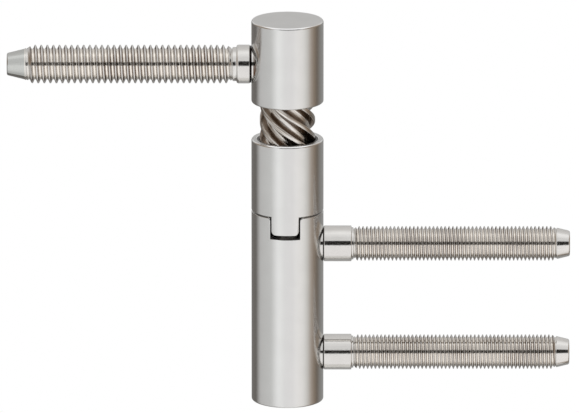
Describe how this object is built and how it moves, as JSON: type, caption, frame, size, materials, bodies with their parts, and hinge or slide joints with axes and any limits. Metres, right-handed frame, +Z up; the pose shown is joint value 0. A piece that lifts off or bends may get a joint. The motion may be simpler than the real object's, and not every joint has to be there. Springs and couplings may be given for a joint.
{
  "type": "rising drill-in hinge",
  "caption": "Barrel hinge with a steep helical spindle that lifts the door as it opens, a threaded door pin on the knuckle and threaded frame pins on the keyed lower sleeve.",
  "frame": {"origin": "on the hinge axis at the foot of the frame sleeve", "axes": "+Z up along the hinge axis towards the knuckle, +X along the frame pins, -X along the door pin, +Y away from the viewer"},
  "size_m": [0.1171, 0.015, 0.0816],
  "materials": {
    "barrel_plate": "satin nickel plate on turned steel",
    "pin_plate": "bright nickel plate on rolled thread",
    "spindle_steel": "bright nickel plate, milled helix, greased",
    "nut_steel": "sintered steel, oiled",
    "acetal": "natural acetal",
    "spring_steel": "phosphated spring steel"
  },
  "bodies": {
    "frame": {"frame_sleeve": "barrel_plate", "frame_pin_upper": "pin_plate", "frame_pin_lower": "pin_plate", "lift_sleeve": "barrel_plate", "helix_nut": "nut_steel"},
    "guide": {"guide_bush": "acetal"},
    "door": {"door_knuckle": "barrel_plate", "door_pin": "pin_plate", "rising_spindle": "spindle_steel", "retaining_ring": "spring_steel"}
  },
  "joints": [
    {"name": "rise", "type": "slide", "parent": "frame", "child": "guide", "axis": [0, 0, 1], "range_m": [-0.0077, 0.0044]},
    {"name": "swing", "type": "hinge", "parent": "guide", "child": "door", "pos_m": [0, 0, 0.0259], "axis": [0, 0, 1], "range_deg": [-65, 115]}
  ],
  "couplings": [
    {"joint": "rise", "follows": "swing", "m_per_rad": -0.0038197}
  ]
}
